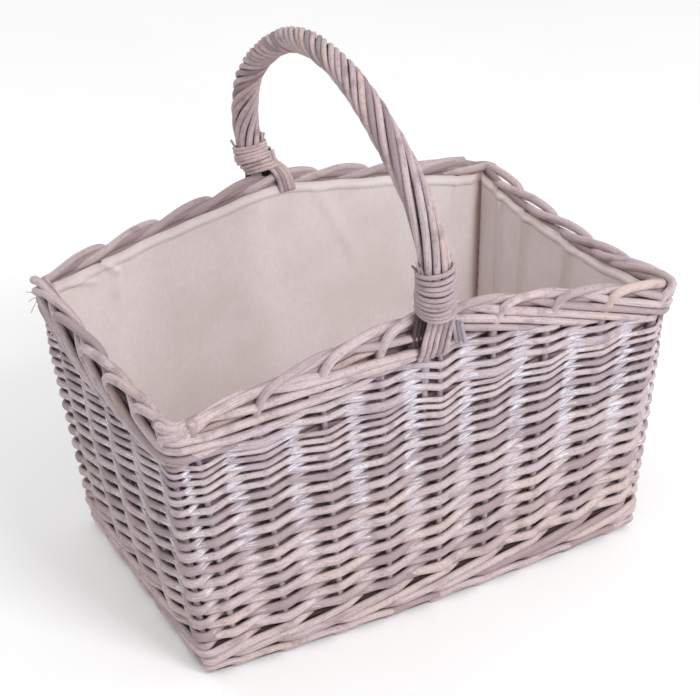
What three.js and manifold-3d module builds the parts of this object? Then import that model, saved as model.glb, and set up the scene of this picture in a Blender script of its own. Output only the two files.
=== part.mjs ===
// Lined willow basket: rectangular and tapered, with an arched rod border and a fixed bow handle.
// Millimetres, +Z up, +X along a long side. The origin is on the floor, under the middle of the foot.
import * as THREE from "three";
import { NURBSCurve } from "three/addons/curves/NURBSCurve.js";
import Module from "manifold-3d";

const wasm = await Module();
wasm.setup();

// Overall sizes. Lengths and widths are over the outer faces of the foot and of the border.
const footLength = 401;
const footWidth = 259;
const rimLength = 440;
const rimWidth = 290;
const rimLevel = 223; // height at which the walls reach the rim's length and width
const cornerHeight = 222; // middle of the border's outer face, at a corner
const archRise = 38; // how much higher it is halfway along a long side
const sideSag = 9; // how much lower it is halfway along a short side
const archPower = 1.2; // 2 would be a parabola and 1 a straight gable
const footBow = 8; // how far a long side bulges past its corners, at the foot
const rimBow = 1; // the same at the rim's level
const footCornerRadius = 10;
const rimCornerRadius = 13;
const leastCornerRadius = 2; // of an inner face
const longSteps = 8; // straight stretches that a long side's outline is made of
const shortSteps = 4;
const cornerSteps = 2;
const sideStages = 4; // levels that the woven side is divided into

// The wall and its bands, from the floor up.
const wallThickness = 13;
const gap = 0.3; // between faces that touch on the real basket
const footBorderHeight = 12;
const footBorderProud = 1;
const footWaleTop = 32;
const baseThickness = 12;
const borderHeight = 30.5;
const borderWidth = 17;
const borderProud = 1.5;
const hemRebate = 16.5; // height of the step under the border's inner edge, where the lining is tucked
const packingReach = 0.97; // share of a long side over which the packing's short rows run

// Uprights and base sticks.
const longSideStakes = 9;
const shortSideStakes = 4;
const longSideSpread = [0.893, 0.952]; // share between the first and last stake, at the foot and the rim
const shortSideSpread = [0.687, 0.635];
const stakeRadius = 3;
const cornerPostRadius = 4;
const stakeTail = 30; // how far a short side's stake runs in under the base weave
const longSideTail = 12;
const tailBend = 6;
const baseStickRadius = 3.8;
const baseStickPlaces = [-1.75, -1, 0, 1, 1.75]; // in spacings of the short sides' stakes
const uprightSides = 6;

// Lining.
const liningThickness = 1.5;

// Handle: a bow stick, the rods twisted round it and a binding at each foot.
const bowRadius = 5;
const bowApex = 432; // height of the bow's centreline at the top
const bowReach = 161; // from the middle plane to the centreline, where the bow is widest
const bowFlare = 5.4; // how far the bow has left the wall's middle just above the border's middle
const bowLean = 9; // how far the top leans towards -X
const bowFootDepth = 90; // how far each end goes down beside the middle stake
const bowWallControls = [1, 0.63, 0.27]; // shares of the foot's depth
const bowArchControls = [[1, 0.223], [0.981, 0.452], [0.838, 0.666], [0.583, 0.833], [0.297, 0.976]];
const bowTopControl = 1.012; // those are shares of the reach and of the rise, and this is of the rise
const bowFootShares = [0, 0.2, 0.4, 0.6, 0.8]; // where the buried end has its sections
const archStep = 16.5; // longest straight stretch of the bow and of its rods above the border
const ropeRods = 7;
const ropeRodRadius = 2.8;
const ropeRodSides = 5;
const ropeLayAtFeet = 6; // degrees between a rod and the bow
const ropeLayAtTop = 31;
const ropeRise = 5; // from the border's top to the lower ends of the rods
const bindingTurns = 8;
const bindingPitch = 4.7;
const bindingRadius = 1.6;
const bindingClearance = 0.6;
const bindingSteps = 18;
const bindingSides = 5;

// Colours of the washed willow and of the linen.
const willow = { color: 0xbcabaa, roughness: 0.75, metalness: 0 };
const darkWillow = { color: 0xa6948f, roughness: 0.8, metalness: 0 };
const paleWillow = { color: 0xd3c4bf, roughness: 0.7, metalness: 0 };
const linen = { color: 0xd4cac6, roughness: 0.95, metalness: 0 };

const { lerp, degToRad } = THREE.MathUtils;
const up = new THREE.Vector3(0, 0, 1);

// The wall's outer surface: each size runs straight from the foot to the rim's level and on above it.
const climb = (z) => z / rimLevel;
const halfLength = (z) => lerp(footLength / 2 - footBorderProud, rimLength / 2 - borderProud, climb(z));
const halfWidth = (z) => lerp(footWidth / 2 - footBorderProud, rimWidth / 2 - borderProud, climb(z));
const cornerRadius = (z) => lerp(footCornerRadius, rimCornerRadius, climb(z));
const sideBow = (z) => lerp(footBow, rimBow, climb(z));
const wallMiddle = wallThickness / 2;

// A station is a place on the basket's outline: sx and sy place the corner circle's centre that it
// belongs to, and a straight side's stations lie between two centres. nx and ny point outwards.
function wallPoint(station, z, inset) {
  const { sx, sy, nx, ny } = station;
  const radius = Math.max(cornerRadius(z) - inset, leastCornerRadius);
  const bulge = ny * sideBow(z) * (1 - sx * sx);
  const x = sx * (halfLength(z) - inset - radius) + nx * radius;
  const y = sy * (halfWidth(z) - inset - radius) + ny * radius + bulge;
  return new THREE.Vector3(x, y, z);
}

// A hump between two corners: 0 at a share of -1 and of 1, and straight between the outline's steps.
function humpAt(share, steps, power) {
  const place = (share + 1) / 2 * steps;
  const low = Math.min(Math.floor(place), steps - 1);
  const [before, after] = [low, low + 1].map((k) => 1 - Math.abs(2 * k / steps - 1) ** power);
  return lerp(before, after, place - low);
}

// How much higher the border is than at a corner. On a short side it is lower.
const sagAt = (station) => sideSag * humpAt(station.sy, shortSteps, 2);
const archAt = (station) => archRise * humpAt(station.sx, longSteps, archPower) - sagAt(station);

const borderMiddle = (station) => cornerHeight + archAt(station);
const borderBottom = (station) => borderMiddle(station) - borderHeight / 2;
const longStation = (side, share) => ({ sx: share, sy: side, nx: 0, ny: side });
const shortStation = (side, share) => ({ sx: side, sy: share, nx: side, ny: 0 });

function cornerStation(sx, sy, angle) {
  return { sx, sy, nx: Math.cos(angle), ny: Math.sin(angle) };
}

// The outline's stations, anticlockwise from the left end of the front side.
function outlineStations() {
  const stations = [];
  const corners = [[1, -1], [1, 1], [-1, 1], [-1, -1]];
  corners.forEach(([sx, sy], quarter) => {
    const isLongSide = quarter % 2 === 0;
    const steps = isLongSide ? longSteps : shortSteps;
    for (let k = 0; k < steps; k++) {
      const share = 2 * k / steps - 1;
      stations.push(isLongSide ? longStation(sy, sx * share) : shortStation(sx, sy * share));
    }
    for (let k = 0; k < cornerSteps; k++) {
      stations.push(cornerStation(sx, sy, (quarter - 1 + k / cornerSteps) * Math.PI / 2));
    }
  });
  return stations;
}

const outline = outlineStations();
const outlineLoop = (z, inset) => outline.map((station) => wallPoint(station, z, inset));

// A closed surface through equal loops of points. A ring closes on itself, and a tube has two ends.
function loopsGeometry(loops, isRing) {
  const sides = loops[0].length;
  const index = [];
  const spans = isRing ? loops.length : loops.length - 1;
  for (let i = 0; i < spans; i++) {
    const here = i * sides;
    const next = ((i + 1) % loops.length) * sides;
    for (let s = 0; s < sides; s++) {
      const t = (s + 1) % sides;
      index.push(here + s, here + t, next + t, here + s, next + t, next + s);
    }
  }
  const last = (loops.length - 1) * sides;
  for (let s = 1; !isRing && s < sides - 1; s++) {
    index.push(0, s + 1, s, last, last + s, last + s + 1);
  }
  const positions = loops.flat().flatMap((p) => [p.x, p.y, p.z]);
  const geometry = new THREE.BufferGeometry();
  geometry.setAttribute("position", new THREE.Float32BufferAttribute(positions, 3));
  return geometry.setIndex(index);
}

const tubeGeometry = (loops) => loopsGeometry(loops, false);

// Loops of a rod along points, with one reference direction, or one for each point, from which
// the section is turned by an angle.
function rodLoops(path, radius, sides, reference, turn = 0) {
  return path.map((centre, i) => {
    const before = path[Math.max(i - 1, 0)];
    const after = path[Math.min(i + 1, path.length - 1)];
    const along = after.clone().sub(before).normalize();
    const wanted = Array.isArray(reference) ? reference[i] : reference;
    const first = wanted.clone().addScaledVector(along, -wanted.dot(along)).normalize();
    const second = along.clone().cross(first);
    const loop = [];
    for (let s = 0; s < sides; s++) {
      const angle = turn + s * 2 * Math.PI / sides;
      const point = centre.clone().addScaledVector(first, radius * Math.cos(angle));
      loop.push(point.addScaledVector(second, radius * Math.sin(angle)));
    }
    return loop;
  });
}

// A square socket that a round rod lies in, with a gap on each side and past both ends.
function socket(path, radius, reference) {
  const square = (radius + gap) * Math.SQRT2;
  return solid(tubeGeometry(rodLoops(lengthened(path, gap), square, 4, reference, Math.PI / 4)));
}

// The path with both ends moved outwards.
function lengthened(path, amount) {
  const longer = path.map((p) => p.clone());
  const n = path.length;
  longer[0].add(path[0].clone().sub(path[1]).setLength(amount));
  longer[n - 1].add(path[n - 1].clone().sub(path[n - 2]).setLength(amount));
  return longer;
}

function solid(geometry) {
  const vertProperties = new Float32Array(geometry.getAttribute("position").array);
  const triVerts = new Uint32Array(geometry.index.array);
  return new wasm.Manifold(new wasm.Mesh({ numProp: 3, vertProperties, triVerts }));
}

function cutBy(geometry, sockets) {
  const cut = solid(geometry).subtract(wasm.Manifold.union(sockets)).getMesh();
  const result = new THREE.BufferGeometry();
  result.setAttribute("position", new THREE.Float32BufferAttribute(cut.vertProperties, 3));
  return result.setIndex(Array.from(cut.triVerts));
}

const basket = new THREE.Group();

function add(name, geometry, look) {
  const material = new THREE.MeshStandardMaterial({ ...look, flatShading: true });
  const mesh = new THREE.Mesh(geometry, material);
  mesh.name = name;
  basket.add(mesh);
}

// Heights of the bands, each a gap above the one below it.
const baseBottom = footBorderHeight + gap;
const baseTop = baseBottom + baseThickness;
const tailHeight = (baseBottom + baseTop) / 2;
const sideBottom = footWaleTop + gap;
const cornerBorderBottom = cornerHeight - borderHeight / 2;
const sideTop = cornerBorderBottom - gap; // at a corner and along the long sides
const sideTopAt = (station) => sideTop - sagAt(station);
const liningFloor = baseTop + gap;

// The side's faces are slightly twisted, so all that lie along it bend at the same levels.
const sideLevels = [];
for (let k = 1; k < sideStages; k++) sideLevels.push(lerp(sideBottom, sideTop, k / sideStages));

// A stake goes up the middle of the wall into the border. Most of them start with a tail that lies
// in the base weave. Those without one stand on the foot's border.
function stakePath(station, topStation, tail, radius) {
  const top = wallPoint(topStation, borderMiddle(topStation), wallMiddle);
  const bottom = wallPoint(station, tailHeight, wallMiddle);
  const lean = Math.hypot(top.x - bottom.x, top.y - bottom.y) / (top.z - bottom.z);
  if (tail === 0) return [wallPoint(station, baseBottom + 2 * gap + radius * lean, wallMiddle), top];
  const outwards = new THREE.Vector3(station.nx, station.ny, 0);
  const tailLength = wallThickness - wallMiddle + gap + tail;
  return [
    bottom.clone().addScaledVector(outwards, -tailLength),
    bottom.clone().addScaledVector(outwards, -tailBend),
    wallPoint(station, tailHeight + tailBend, wallMiddle),
    top,
  ];
}

function uprights() {
  const list = [];
  const sides = [["front", -1, true], ["back", 1, true], ["left", -1, false], ["right", 1, false]];
  for (const [name, side, isLong] of sides) {
    const count = isLong ? longSideStakes : shortSideStakes;
    const spread = isLong ? longSideSpread : shortSideSpread;
    for (let k = 0; k < count; k++) {
      const [station, topStation] = spread.map((share) => {
        const place = share * (2 * k / (count - 1) - 1);
        return isLong ? longStation(side, place) : shortStation(side, place);
      });
      const tail = isLong ? longSideTail : stakeTail;
      list.push({ name: `stake_${name}_${k + 1}`, station, topStation, tail, radius: stakeRadius });
    }
  }
  for (const [frontBack, sy] of [["front", -1], ["back", 1]]) {
    for (const [leftRight, sx] of [["left", -1], ["right", 1]]) {
      const station = cornerStation(sx, sy, Math.atan2(sy, sx));
      const name = `corner_post_${frontBack}_${leftRight}`;
      list.push({ name, station, topStation: station, tail: 0, radius: cornerPostRadius });
    }
  }
  return list;
}

const uprightSockets = uprights().map(({ name, station, topStation, tail, radius }) => {
  const path = stakePath(station, topStation, tail, radius);
  const sideways = new THREE.Vector3(-station.ny, station.nx, 0);
  add(name, tubeGeometry(rodLoops(path, radius, uprightSides, sideways)), darkWillow);
  return socket(path, radius, sideways);
});

// Base sticks lie along the base, clear of the short sides' tails.
function baseSticks() {
  const lastTail = wallPoint(shortStation(1, shortSideSpread[0]), tailHeight, wallMiddle);
  const spacing = 2 * lastTail.y / (shortSideStakes - 1);
  const lean = (halfLength(rimLevel) - halfLength(0)) / rimLevel;
  const end = lastTail.x - (wallThickness - wallMiddle) - 2 * gap - baseStickRadius * lean;
  return baseStickPlaces.map((place, k) => {
    const y = place * spacing;
    const path = [new THREE.Vector3(-end, y, tailHeight), new THREE.Vector3(end, y, tailHeight)];
    return { name: `base_stick_${k + 1}`, path };
  });
}

const stickSockets = baseSticks().map(({ name, path }) => {
  add(name, tubeGeometry(rodLoops(path, baseStickRadius, uprightSides, up)), darkWillow);
  return socket(lengthened(path, gap), baseStickRadius, up);
});

const baseLoops = [baseBottom, baseTop].map((z) => outlineLoop(z, wallThickness + gap));
add("base_weave", cutBy(tubeGeometry(baseLoops), [...stickSockets, ...uprightSockets]), willow);

// A band of the wall: its section, as insets and heights, is asked for at each station.
function bandGeometry(stations, section, isRing) {
  const loops = stations.map((station) => {
    return section(station).map(([inset, z]) => wallPoint(station, z, inset));
  });
  return loopsGeometry(loops, isRing);
}

function flatBand(low, high, between = []) {
  const heights = [low, ...between, high];
  const inner = heights.map((z) => [wallThickness, z]);
  const outer = heights.map((z) => [0, z]).reverse();
  return [...inner, ...outer];
}

function footBorderSection() {
  const outer = -footBorderProud;
  const inner = wallThickness + footBorderProud;
  const edge = footBorderHeight / 4;
  return [
    [outer + edge, 0],
    [inner - edge, 0],
    [inner, edge],
    [inner, footBorderHeight],
    [outer, footBorderHeight],
    [outer, edge],
  ];
}

function topBorderSection(station) {
  const middle = borderMiddle(station);
  const half = borderHeight / 2;
  const outer = -borderProud;
  const inner = borderWidth - borderProud;
  const shoulder = borderWidth / 4;
  const eave = middle - half + hemRebate;
  const crown = middle + half;
  return [
    [0, middle - half],
    [wallThickness, middle - half],
    [wallThickness, eave],
    [inner, eave],
    [inner, crown - 2 * shoulder],
    [inner - shoulder, crown - shoulder / 2],
    [inner - 2 * shoulder, crown],
    [outer + shoulder, crown],
    [outer, crown - 2 * shoulder],
    [outer, middle - half / 2],
  ];
}

// The bow follows the wall up beside the middle stake, then widens a little and arches over.
const bowOffset = -(stakeRadius + bowRadius + 2 * gap);
const middleStation = (side) => longStation(side, 0);
const archMiddle = borderMiddle(middleStation(1));
const borderTop = archMiddle + borderHeight / 2;
const leanAt = (z) => bowOffset - bowLean * Math.max(0, (z - borderTop) / (bowApex - borderTop));

// The curve's control points: up the wall's middle, out past the border, and along the arch.
function bowHalf(side) {
  const wallPart = bowWallControls.map((share) => {
    return wallPoint(middleStation(side), archMiddle - share * bowFootDepth, wallMiddle).setX(bowOffset);
  });
  const flareHeight = archMiddle + borderHeight / 4;
  const flared = wallPoint(middleStation(side), flareHeight, wallMiddle - bowFlare).setX(bowOffset);
  const archPart = bowArchControls.map(([out, rise]) => {
    const z = lerp(archMiddle, bowApex, rise);
    return new THREE.Vector3(leanAt(z), side * bowReach * out, z);
  });
  return [...wallPart, flared, ...archPart];
}

function bowCurve() {
  const degree = 3;
  const top = new THREE.Vector3(leanAt(bowApex), 0, lerp(archMiddle, bowApex, bowTopControl));
  const controls = [...bowHalf(-1), top, ...bowHalf(1).reverse()];
  const lastKnot = controls.length - degree;
  const knots = [];
  for (let k = -degree; k <= lastKnot + degree; k++) knots.push(Math.min(Math.max(k, 0), lastKnot));
  const curve = new NURBSCurve(degree, knots, controls.map((p) => new THREE.Vector4(p.x, p.y, p.z, 1)));
  curve.arcLengthDivisions = 1000;
  return curve;
}

const bow = bowCurve();
const bowLength = bow.getLength();
const acrossBow = new THREE.Vector3(bowApex - borderTop, 0, bowLean).normalize();

// The share of the bow's length at which its front leg reaches a height.
function shareAtHeight(z) {
  let low = 0;
  let high = 0.5;
  for (let k = 0; k < 40; k++) {
    const middle = (low + high) / 2;
    if (bow.getPointAt(middle).z < z) low = middle;
    else high = middle;
  }
  return low;
}

const ropeStart = shareAtHeight(borderTop + ropeRise);
const archSteps = Math.ceil((1 - 2 * ropeStart) * bowLength / archStep);
const archShares = [];
for (let k = 0; k <= archSteps; k++) archShares.push(lerp(ropeStart, 1 - ropeStart, k / archSteps));
const footShares = bowFootShares.map((share) => share * ropeStart);
const backShares = footShares.map((share) => 1 - share).reverse();
const bowPath = (shares) => shares.map((share) => bow.getPointAt(share));
const bowSockets = [[...footShares, ropeStart], [1 - ropeStart, ...backShares]].map((shares) => {
  return socket(bowPath(shares), bowRadius, acrossBow);
});
const wholeBow = bowPath([...footShares, ...archShares, ...backShares]);
add("handle_bow", tubeGeometry(rodLoops(wholeBow, bowRadius, uprightSides, acrossBow)), darkWillow);

// A point at a distance from the bow's centreline, and the direction from the centreline to it.
function roundBow(share, angle, radius) {
  const along = bow.getTangentAt(share);
  const first = acrossBow.clone().addScaledVector(along, -acrossBow.dot(along)).normalize();
  const second = along.clone().cross(first);
  const outwards = first.multiplyScalar(Math.cos(angle)).addScaledVector(second, Math.sin(angle));
  return { point: bow.getPointAt(share).addScaledVector(outwards, radius), outwards };
}

// The rods lie nearly straight at the feet and are laid steeper towards the top.
const ropePitchRadius = bowRadius + 2 * gap + ropeRodRadius;
function ropeTwist() {
  const step = (archShares[1] - archShares[0]) * bowLength;
  const angles = [0];
  for (let k = 1; k <= archSteps; k++) {
    const height = Math.sin(Math.PI * (k - 0.5) / archSteps);
    const lay = degToRad(lerp(ropeLayAtFeet, ropeLayAtTop, height));
    angles.push(angles[k - 1] + step * Math.tan(lay) / ropePitchRadius);
  }
  return angles;
}

const twist = ropeTwist();
for (let rod = 0; rod < ropeRods; rod++) {
  const start = rod * 2 * Math.PI / ropeRods;
  const places = archShares.map((share, k) => roundBow(share, start + twist[k], ropePitchRadius));
  const path = places.map(({ point }) => point);
  const outwards = places.map((place) => place.outwards);
  const loops = rodLoops(path, ropeRodRadius, ropeRodSides, outwards);
  add(`handle_rod_${rod + 1}`, tubeGeometry(loops), willow);
}

// Each binding is one strand wound round the rods at a foot, with a straight stretch at both ends.
const bindingPitchRadius = ropePitchRadius + ropeRodRadius + bindingClearance + bindingRadius;
function bindingPath(side) {
  const places = [];
  const count = bindingTurns * bindingSteps;
  for (let k = 0; k <= count; k++) {
    const height = (2 * bindingRadius + bindingPitch * k / bindingSteps) / bowLength;
    const share = side < 0 ? ropeStart + height : 1 - ropeStart - height;
    places.push(roundBow(share, k * 2 * Math.PI / bindingSteps, bindingPitchRadius));
  }
  const path = places.map(({ point }) => point);
  const outwards = places.map((place) => place.outwards);
  path.unshift(path[0].clone().add(path[0].clone().sub(path[1]).setLength(2 * bindingRadius)));
  path.push(path.at(-1).clone().add(path.at(-1).clone().sub(path.at(-2)).setLength(2 * bindingRadius)));
  return { path, outwards: [outwards[0], ...outwards, outwards.at(-1)] };
}

// The least gap of a wound strand to itself, over points that are half a turn or more apart.
function leastSelfGap(path) {
  let least = Infinity;
  for (let i = 0; i < path.length; i++) {
    for (let j = i + bindingSteps / 2; j < path.length; j++) {
      least = Math.min(least, path[i].distanceTo(path[j]));
    }
  }
  return least - 2 * bindingRadius;
}

for (const [name, side] of [["front", -1], ["back", 1]]) {
  const { path, outwards } = bindingPath(side);
  console.log(`handle_binding_${name}: least gap to itself ${leastSelfGap(path).toFixed(2)} mm`);
  const loops = rodLoops(path, bindingRadius, bindingSides, outwards);
  add(`handle_binding_${name}`, tubeGeometry(loops), paleWillow);
}

// The woven bands, cut to let the uprights and the bow's feet pass.
const sockets = [...uprightSockets, ...bowSockets];
const footWaleSection = () => flatBand(baseBottom, footWaleTop);
const sideSection = (station) => flatBand(sideBottom, sideTopAt(station), sideLevels);
add("foot_border", bandGeometry(outline, footBorderSection, true), willow);
add("foot_wale", cutBy(bandGeometry(outline, footWaleSection, true), sockets), willow);
add("side_weave", cutBy(bandGeometry(outline, sideSection, true), sockets), willow);
add("top_border", cutBy(bandGeometry(outline, topBorderSection, true), sockets), paleWillow);

// The packing's short rows fill the long sides from the level weave up to the arched border.
function packingGeometry(side) {
  const stations = [];
  for (let k = 0; k <= longSteps; k++) {
    stations.push(longStation(side, -side * packingReach * (2 * k / longSteps - 1)));
  }
  const section = (station) => flatBand(sideTop + gap, borderBottom(station) - gap);
  return bandGeometry(stations, section, false);
}

add("packing_front", cutBy(packingGeometry(-1), sockets), willow);
add("packing_back", cutBy(packingGeometry(1), sockets), willow);

// The lining is an open bag that lies on the base and the walls, with its edge under the border.
function liningGeometry() {
  const outerInset = wallThickness + gap;
  const innerInset = outerInset + liningThickness;
  const levels = [footWaleTop, ...sideLevels];
  const loopAt = (heightAt, inset) => outline.map((station) => wallPoint(station, heightAt(station), inset));
  const edgeHeight = (station) => borderBottom(station) + hemRebate - gap;
  return tubeGeometry([
    outlineLoop(liningFloor, outerInset),
    ...levels.map((z) => outlineLoop(z, outerInset)),
    loopAt(sideTopAt, outerInset),
    loopAt(edgeHeight, outerInset),
    loopAt(edgeHeight, innerInset),
    loopAt(sideTopAt, innerInset),
    ...levels.map((z) => outlineLoop(z, innerInset)).reverse(),
    outlineLoop(liningFloor + liningThickness, innerInset),
  ]);
}

add("lining", liningGeometry(), linen);

export default basket;
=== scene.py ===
# Lined willow basket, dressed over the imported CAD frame. Lengths in the tables are millimetres.
import math

import bpy
import numpy as np
from mathutils import Matrix, Vector


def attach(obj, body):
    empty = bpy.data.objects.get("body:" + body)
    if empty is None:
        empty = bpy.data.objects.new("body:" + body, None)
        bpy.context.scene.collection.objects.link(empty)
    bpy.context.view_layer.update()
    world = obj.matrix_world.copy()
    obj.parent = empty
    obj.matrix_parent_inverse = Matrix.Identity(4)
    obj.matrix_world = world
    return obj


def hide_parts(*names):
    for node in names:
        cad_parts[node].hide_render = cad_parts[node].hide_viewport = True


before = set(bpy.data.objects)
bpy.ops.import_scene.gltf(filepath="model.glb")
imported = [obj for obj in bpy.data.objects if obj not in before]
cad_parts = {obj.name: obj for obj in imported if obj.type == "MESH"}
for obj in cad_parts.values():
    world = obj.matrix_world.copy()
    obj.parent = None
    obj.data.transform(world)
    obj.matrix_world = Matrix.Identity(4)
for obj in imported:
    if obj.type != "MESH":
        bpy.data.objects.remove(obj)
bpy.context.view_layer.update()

MM = 0.001
TINY = 1e-6  # what counts as no difference
dice = np.random.default_rng(11)

# Sizes, as in the CAD.
FOOT_LENGTH, FOOT_WIDTH = 401.0, 259.0
RIM_LENGTH, RIM_WIDTH = 440.0, 290.0
RIM_LEVEL = 223.0
CORNER_HEIGHT = 222.0
ARCH_RISE, ARCH_POWER = 38.0, 1.2
SIDE_SAG = 9.0
FOOT_BOW, RIM_BOW = 8.0, 1.0
SHORT_BELLY = 3.5  # the short sides swell in the photo, but are straight in the CAD
FOOT_CORNER, RIM_CORNER, LEAST_CORNER = 10.0, 13.0, 2.0
WALL = 13.0
MIDDLE_INSET = WALL / 2
PROUD_FOOT, PROUD_RIM = 1.0, 1.5
BASE_BOTTOM, BASE_TOP = 12.3, 24.3
BORDER_HEIGHT = 30.5
BORDER_BOTTOM = CORNER_HEIGHT - BORDER_HEIGHT / 2
LONG_STAKES, SHORT_STAKES = 9, 4
LONG_SPREAD, SHORT_SPREAD = (0.893, 0.952), (0.687, 0.635)
BASE_STICKS = (-1.75, -1, 0, 1, 1.75)  # across the base, in spacings of the short sides' stakes
BOW_APEX, BOW_REACH, BOW_FLARE, BOW_LEAN = 432.0, 161.0, 5.4, 9.0
BOW_FOOT_DEPTH = 90.0
BOW_X = -8.6
# Control points of the bow: shares of its depth in the wall, shares of its reach and height, and its top.
BOW_WALL = (1, 0.63, 0.27)
BOW_ARCH = ((1, 0.223), (0.981, 0.452), (0.838, 0.666), (0.583, 0.833), (0.297, 0.976))
BOW_TOP = 1.012

# The outline's table: points on each side and round each corner, and the height that it is measured at.
SIDE_POINTS, CORNER_POINTS = 120, 10
MEASURED_AT = 120.0


def mix(a, b, t):
    return a + (b - a) * t


def grow(x, start, reach):
    """From 0 at the start to 1 a reach further on, or further back."""
    return np.clip((x - start) / reach, 0, 1)


def bell(x, width):
    return np.exp(-((x / width) ** 2))


def vary(least, spread):
    """A random number from the least one up."""
    return least + spread * dice.random()


def phase():
    """A random start for a wave."""
    return vary(0, 6.28)


def wall(station, z, inset):
    """Points on the wall, from stations (sx, sy, angle), heights and insets from the outer face."""
    sx, sy, angle = station
    nx, ny = np.cos(angle), np.sin(angle)
    t = z / RIM_LEVEL
    half_x = mix(FOOT_LENGTH / 2 - PROUD_FOOT, RIM_LENGTH / 2 - PROUD_RIM, t) - inset
    half_y = mix(FOOT_WIDTH / 2 - PROUD_FOOT, RIM_WIDTH / 2 - PROUD_RIM, t) - inset
    radius = np.maximum(mix(FOOT_CORNER, RIM_CORNER, t) - inset, LEAST_CORNER)
    belly = SHORT_BELLY * (1 - sy * sy) * np.sin(math.pi * np.clip(t, 0, 1))
    x = sx * (half_x - radius) + nx * (radius + belly)
    y = sy * (half_y - radius) + ny * (radius + mix(FOOT_BOW, RIM_BOW, t) * (1 - sx * sx))
    return np.stack([x, y, z + 0 * x], -1)


def station_table():
    """The outline, anticlockwise from the front left corner's middle, as arc length and stations."""
    quarter = math.pi / 2
    s, one = np.linspace(-1, 1, SIDE_POINTS), np.ones(SIDE_POINTS)
    corner = np.ones(CORNER_POINTS)
    sides = ((s, -one), (one, s), (-s, one), (-one, -s))
    parts = []
    for k, (sx, sy) in enumerate([(1, -1), (1, 1), (-1, 1), (-1, -1)]):
        out = -quarter + k * quarter
        parts.append((*sides[k], out * one))
        parts.append((sx * corner, sy * corner, np.linspace(out, out + quarter, CORNER_POINTS)))
    half = CORNER_POINTS // 2
    last = parts[-1]
    parts[-1] = tuple(a[:half] for a in last)
    parts.insert(0, (last[0][half:], last[1][half:], last[2][half:] - 2 * math.pi))
    sx, sy, angle = (np.concatenate([p[i] for p in parts]) for i in range(3))
    places = wall((sx, sy, angle), np.full(len(sx), MEASURED_AT), np.full(len(sx), MIDDLE_INSET))
    steps = np.linalg.norm(np.diff(places, axis=0), axis=1)
    length = np.concatenate([[0], np.cumsum(steps)])
    closing = np.linalg.norm(places[0] - places[-1])
    keep = np.concatenate([[True], steps > TINY])
    return length[keep], sx[keep], sy[keep], angle[keep], length[-1] + closing


ARC, ARC_SX, ARC_SY, ARC_ANGLE, ROUND = station_table()


def station(arc):
    """(sx, sy, angle) at arc lengths round the basket."""
    arc = np.asarray(arc, float) % ROUND
    lengths = np.append(ARC, ROUND)
    closed = [np.append(ARC_SX, ARC_SX[0]), np.append(ARC_SY, ARC_SY[0])]
    angle = np.append(ARC_ANGLE, ARC_ANGLE[0] + 2 * math.pi)
    return tuple(np.interp(arc, lengths, values) for values in (*closed, angle))


def all_round(count):
    """Arc lengths evenly spaced round the basket."""
    return np.linspace(0, ROUND, count, endpoint=False)


def arc_of(side, share):
    """Arc length of the place at a share, -1 to 1, of a side: 0 front, 1 right, 2 back, 3 left."""
    out = (side - 1) * math.pi / 2
    on_side = np.abs(ARC_ANGLE - out) < TINY
    along = [ARC_SX, ARC_SY, -ARC_SX, -ARC_SY][side]
    return float(np.interp(share, along[on_side], ARC[on_side]))


def short_share(sy):
    """From 1 at the middle of a short side to 0 at its corners and along the long sides."""
    return np.sqrt(np.clip(1 - sy * sy, 0, 1))


def arch(arc):
    """How much higher than at a corner the border is."""
    sx, sy, angle = station(arc)
    is_long = np.abs(sy) > 1 - TINY
    rise = ARCH_RISE * (1 - np.abs(sx) ** ARCH_POWER) * is_long
    return rise - SIDE_SAG * (1 - sy * sy)


def upright_arcs(level):
    """Arc lengths of the uprights at the foot, level 0, or the rim, level 1, evenly spaced."""
    arcs = [0.0]
    for side in range(4):
        count, spread = ((LONG_STAKES, LONG_SPREAD), (SHORT_STAKES, SHORT_SPREAD))[side % 2]
        arcs += [arc_of(side, share) for share in np.linspace(-spread[level], spread[level], count)]
        if side < 3:
            arcs.append((arc_of(side, 1) + arc_of(side + 1, -1)) / 2)
    return np.array(arcs)


# Uprights are numbered anticlockwise from the front left corner post, and these stand off their even
# places along the outline, as in the photo.
STRAYS = {0: -5.0, 3: 3.0, 4: 3.0, 5: 4.0, 6: 2.0, 7: 2.0, 8: 4.0, 9: 7.0, 10: 6.0, 24: 11.0,
          26: -5.0, 27: -5.0, 28: -8.0, 29: -6.0}
CORNER_POSTS = [0, 10, 15, 25]
UPRIGHTS = (upright_arcs(0), upright_arcs(1))
COUNT = len(UPRIGHTS[0])
for upright, stray in STRAYS.items():
    for level_arcs in UPRIGHTS:
        level_arcs[upright] += stray


def arc_at(turn, z):
    """Arc length at a height, where turn counts uprights from the front left corner post."""
    turn = np.asarray(turn, float)
    laps = np.floor(turn / COUNT)
    rest = turn - laps * COUNT
    numbers = np.arange(COUNT + 1)
    foot_arc, rim_arc = (np.interp(rest, numbers, [*arcs, ROUND + arcs[0]]) for arcs in UPRIGHTS)
    return laps * ROUND + mix(foot_arc, rim_arc, z / RIM_LEVEL)


def outwards(arc):
    """Level directions out from the wall."""
    angle = station(arc)[2]
    return np.stack([np.cos(angle), np.sin(angle), 0 * angle], -1)


def unit(v):
    return v / np.maximum(np.linalg.norm(v, axis=-1, keepdims=True), 1e-9)


# Insets from the wall's outer face between which a rod gets darker, with painted shade deep in the wall.
RECESS_START, RECESS_DEPTH = 3.2, 6.0
# A groove paints shade on a rod where its surface faces inwards of this share of its half thickness, over
# this further share.
GROOVE_START, GROOVE_REACH = 0.5, 0.6
GRAIN_SHIFT = 40  # metres over which the rods' grain is dealt out, so that no two look alike
# A cut end: how long its chamfer is and how small its face, as shares, and how much paler.
CHAMFER, END_SIZE, END_WEAR = 0.35, 0.7, 0.4


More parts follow.
